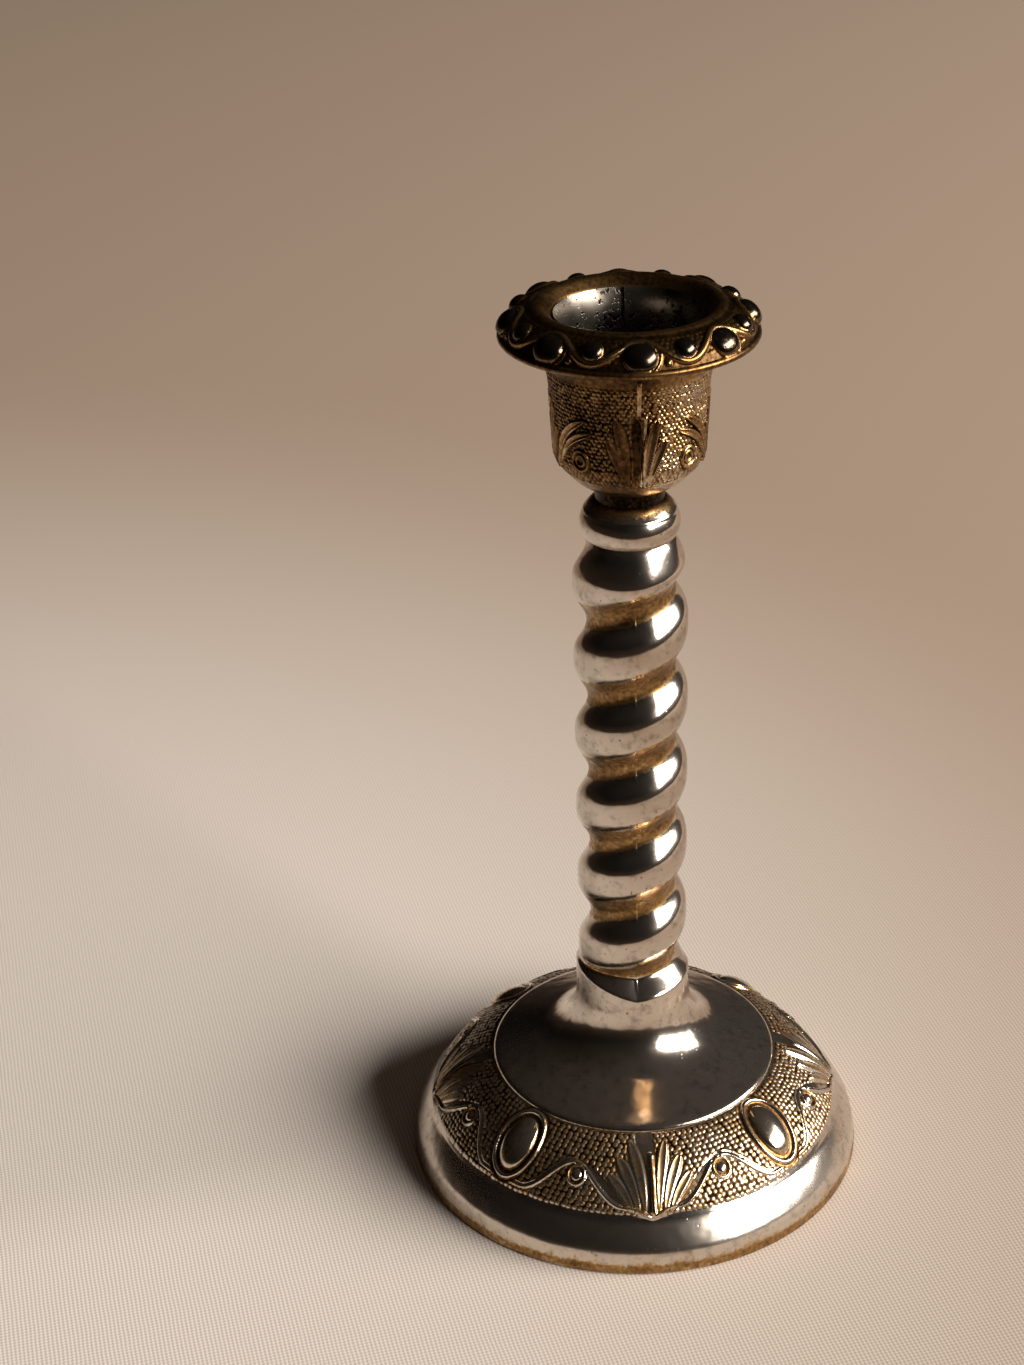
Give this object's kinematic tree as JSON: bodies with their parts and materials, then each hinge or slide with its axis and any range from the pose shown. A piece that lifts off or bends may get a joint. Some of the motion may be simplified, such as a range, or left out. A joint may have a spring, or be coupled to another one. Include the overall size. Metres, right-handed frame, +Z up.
{
  "type": "spiral candle holder",
  "caption": "Free-standing candle holder: hollow domed foot with an ornamented band, spiral column with a knop, cup with leaf relief, and a beaded drip pan with a sleeve that lifts out.",
  "frame": {"origin": "centre of the felt's underside, on the table", "axes": "+Z up along the candle's axis; -Y is the front, where the mould seam runs; +X to the right seen from the front"},
  "size_m": [0.0826, 0.0826, 0.1625],
  "materials": {
    "plated_casting": "worn silver plate on cast zinc, brass-brown in the hollows",
    "tinned_sheet": "dull tinned sheet, pitted",
    "bright_steel": "zinc-plated fasteners",
    "fibre_board": "pressed fibre",
    "felt": "pressed wool felt"
  },
  "bodies": {
    "stick": {"foot": "plated_casting", "twist_column": "plated_casting", "candle_cup": "plated_casting", "tie_rod": "bright_steel", "washer": "bright_steel", "lock_washer": "bright_steel", "tie_nut": "bright_steel", "base_board": "fibre_board", "felt_pad": "felt"},
    "nozzle": {"drip_pan": "plated_casting", "socket_liner": "tinned_sheet"}
  },
  "joints": [
    {"name": "nozzle_lift", "type": "slide", "parent": "stick", "child": "nozzle", "axis": [0, 0, 1], "range_m": [0, 0.021]}
  ]
}
